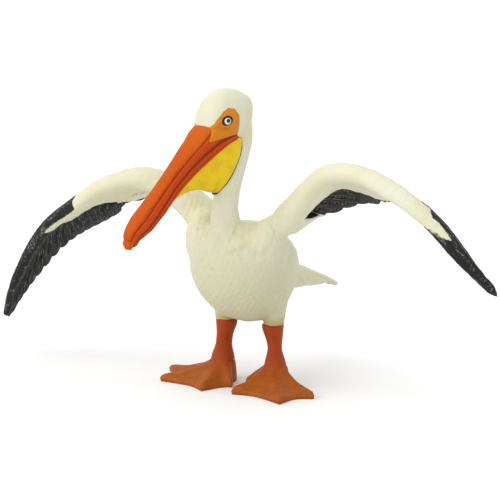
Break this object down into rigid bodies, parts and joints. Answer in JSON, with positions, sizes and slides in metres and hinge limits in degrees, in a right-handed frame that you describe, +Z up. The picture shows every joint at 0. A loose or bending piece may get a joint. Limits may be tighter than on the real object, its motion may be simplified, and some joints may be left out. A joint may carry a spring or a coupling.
{
  "type": "toy pelican figure",
  "caption": "Hand-painted moulded vinyl figure of an American white pelican, standing on webbed feet with both wings held out and drooping, its long bill and yellow pouch lowered.",
  "frame": {"origin": "middle of the figure's footprint box, on the floor that the feet stand on", "axes": "+Z up, the bird faces -Y, +X is the bird's own left, so the wings spread along X"},
  "size_m": [0.1742, 0.0822, 0.0892],
  "materials": {
    "ivory_vinyl": "ivory soft vinyl, satin, moulded feather relief",
    "black_vinyl": "black paint over moulded flight feathers, dry-brushed grey on the ridges",
    "orange_vinyl": "orange paint, shaded darker on the sides",
    "yellow_vinyl": "yellow paint, satin",
    "rust_vinyl": "burnt-orange paint, matte",
    "eye_paint": "glossy white ring and black pupil with a black outline"
  },
  "bodies": {
    "root": {"trunk": "ivory_vinyl", "tail": "ivory_vinyl", "neck": "ivory_vinyl", "head": "ivory_vinyl", "bill_upper": "orange_vinyl", "bill_lower": "orange_vinyl", "pouch": "yellow_vinyl", "eye_left": "eye_paint", "eye_right": "eye_paint", "wing_left_arm": "ivory_vinyl", "wing_left_hand": "black_vinyl", "wing_right_arm": "ivory_vinyl", "wing_right_hand": "black_vinyl", "leg_left": "rust_vinyl", "leg_right": "rust_vinyl", "foot_left": "rust_vinyl", "foot_right": "rust_vinyl"}
  },
  "joints": []
}
